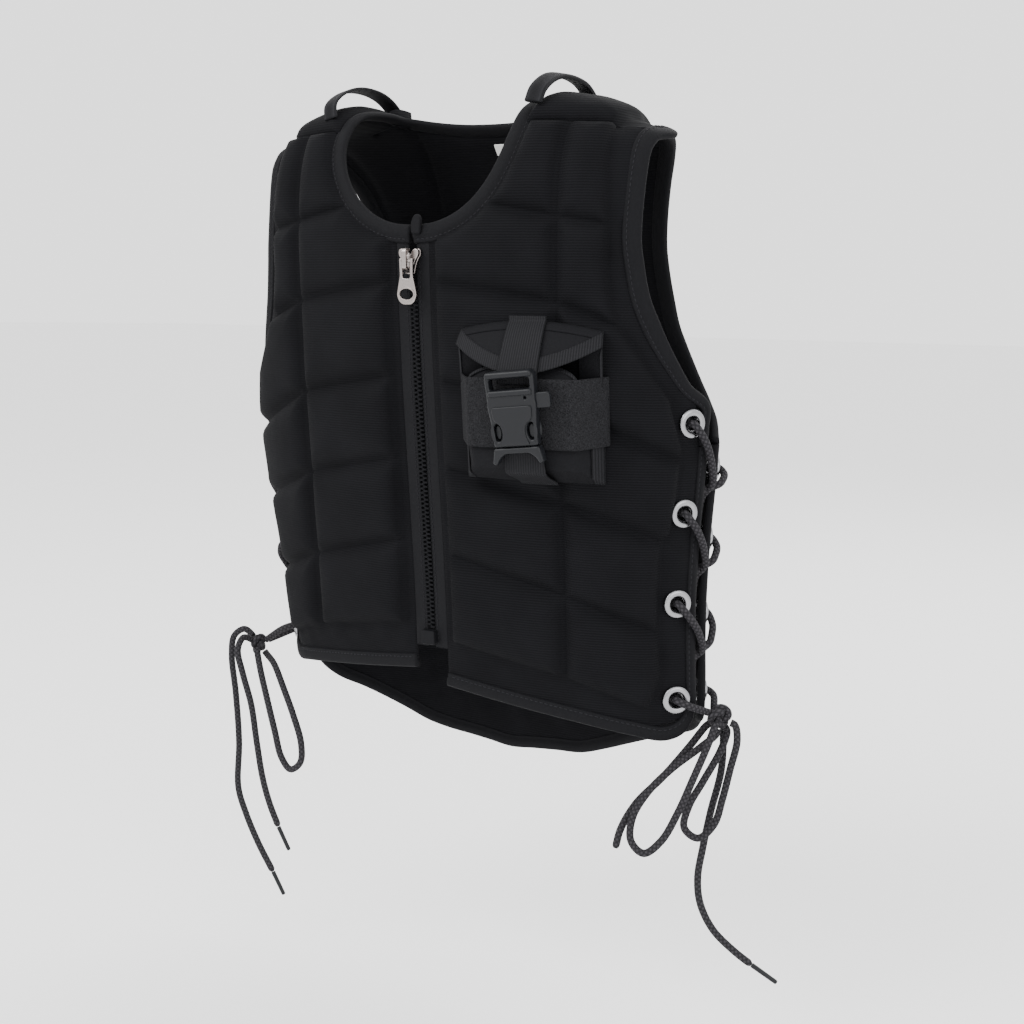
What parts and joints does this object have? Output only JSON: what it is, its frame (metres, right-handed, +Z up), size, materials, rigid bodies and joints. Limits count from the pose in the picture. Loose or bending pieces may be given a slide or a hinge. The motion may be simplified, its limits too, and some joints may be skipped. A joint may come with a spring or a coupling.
{
  "type": "equestrian body protector",
  "caption": "Black quilted riding vest with a zipped front, laced sides, bound edges and a buckled chest pouch, standing as if worn.",
  "frame": {"origin": "midway between the wearer's shoulders, at the height where the shoulders carry the lining", "axes": "+Z up, -Y the front with the zip, +X the wearer's left"},
  "size_m": [0.4566, 0.1901, 0.6166],
  "materials": {
    "shell_cloth": "matte black ribbed cloth",
    "binding_twill": "matte black twill",
    "webbing": "dark grey woven tape",
    "lace_cord": "dark grey braid",
    "eyelet_metal": "satin nickel",
    "zip_metal": "satin nickel silver",
    "zip_plastic": "moulded black",
    "buckle_plastic": "satin dark grey",
    "label_cloth": "woven white"
  },
  "bodies": {
    "vest": {"aglet_left_end_a": "buckle_plastic", "aglet_right_end_a": "buckle_plastic", "aglet_right_end_b": "buckle_plastic", "armhole_binding_left": "binding_twill", "armhole_binding_right": "binding_twill", "back_edge_binding": "binding_twill", "back_panel": "shell_cloth", "buckle_plug": "buckle_plastic", "buckle_socket": "buckle_plastic", "eyelet_back_left_1": "eyelet_metal", "eyelet_back_left_2": "eyelet_metal", "eyelet_back_left_3": "eyelet_metal", "eyelet_back_left_4": "eyelet_metal", "eyelet_back_right_1": "eyelet_metal", "eyelet_back_right_2": "eyelet_metal", "eyelet_back_right_3": "eyelet_metal", "eyelet_back_right_4": "eyelet_metal", "eyelet_front_left_1": "eyelet_metal", "eyelet_front_left_2": "eyelet_metal", "eyelet_front_left_3": "eyelet_metal", "eyelet_front_left_4": "eyelet_metal", "eyelet_front_right_1": "eyelet_metal", "eyelet_front_right_2": "eyelet_metal", "eyelet_front_right_3": "eyelet_metal", "eyelet_front_right_4": "eyelet_metal", "front_edge_binding_left": "binding_twill", "front_edge_binding_right": "binding_twill", "front_panel_left": "shell_cloth", "front_panel_right": "shell_cloth", "knot_left": "lace_cord", "knot_right": "lace_cord", "lace_left_end_a": "lace_cord", "lace_left_end_b": "lace_cord", "lace_left_loop_a": "lace_cord", "lace_left_loop_b": "lace_cord", "lace_right_end_a": "lace_cord", "lace_right_end_b": "lace_cord", "lace_right_loop": "lace_cord", "lacing_left": "lace_cord", "lacing_right": "lace_cord", "neck_binding": "binding_twill", "neck_label": "label_cloth", "pouch_band": "webbing", "pouch_flap": "binding_twill", "pouch_pocket": "binding_twill", "pouch_strap_lower": "webbing", "pouch_strap_upper": "webbing", "shoulder_loop_left": "webbing", "shoulder_loop_right": "webbing", "zip_bottom_box": "zip_plastic", "zip_slider": "zip_metal", "zip_tape_left": "webbing", "zip_tape_right": "webbing", "zip_teeth_left": "zip_plastic", "zip_teeth_right": "zip_plastic"},
    "pull": {"zip_pull": "zip_metal"}
  },
  "joints": [
    {"name": "zip_pull_hinge", "type": "hinge", "parent": "vest", "child": "pull", "pos_m": [0, -0.09042, -0.09091], "axis": [-1, 0, 0], "range_deg": [0, 150]}
  ]
}
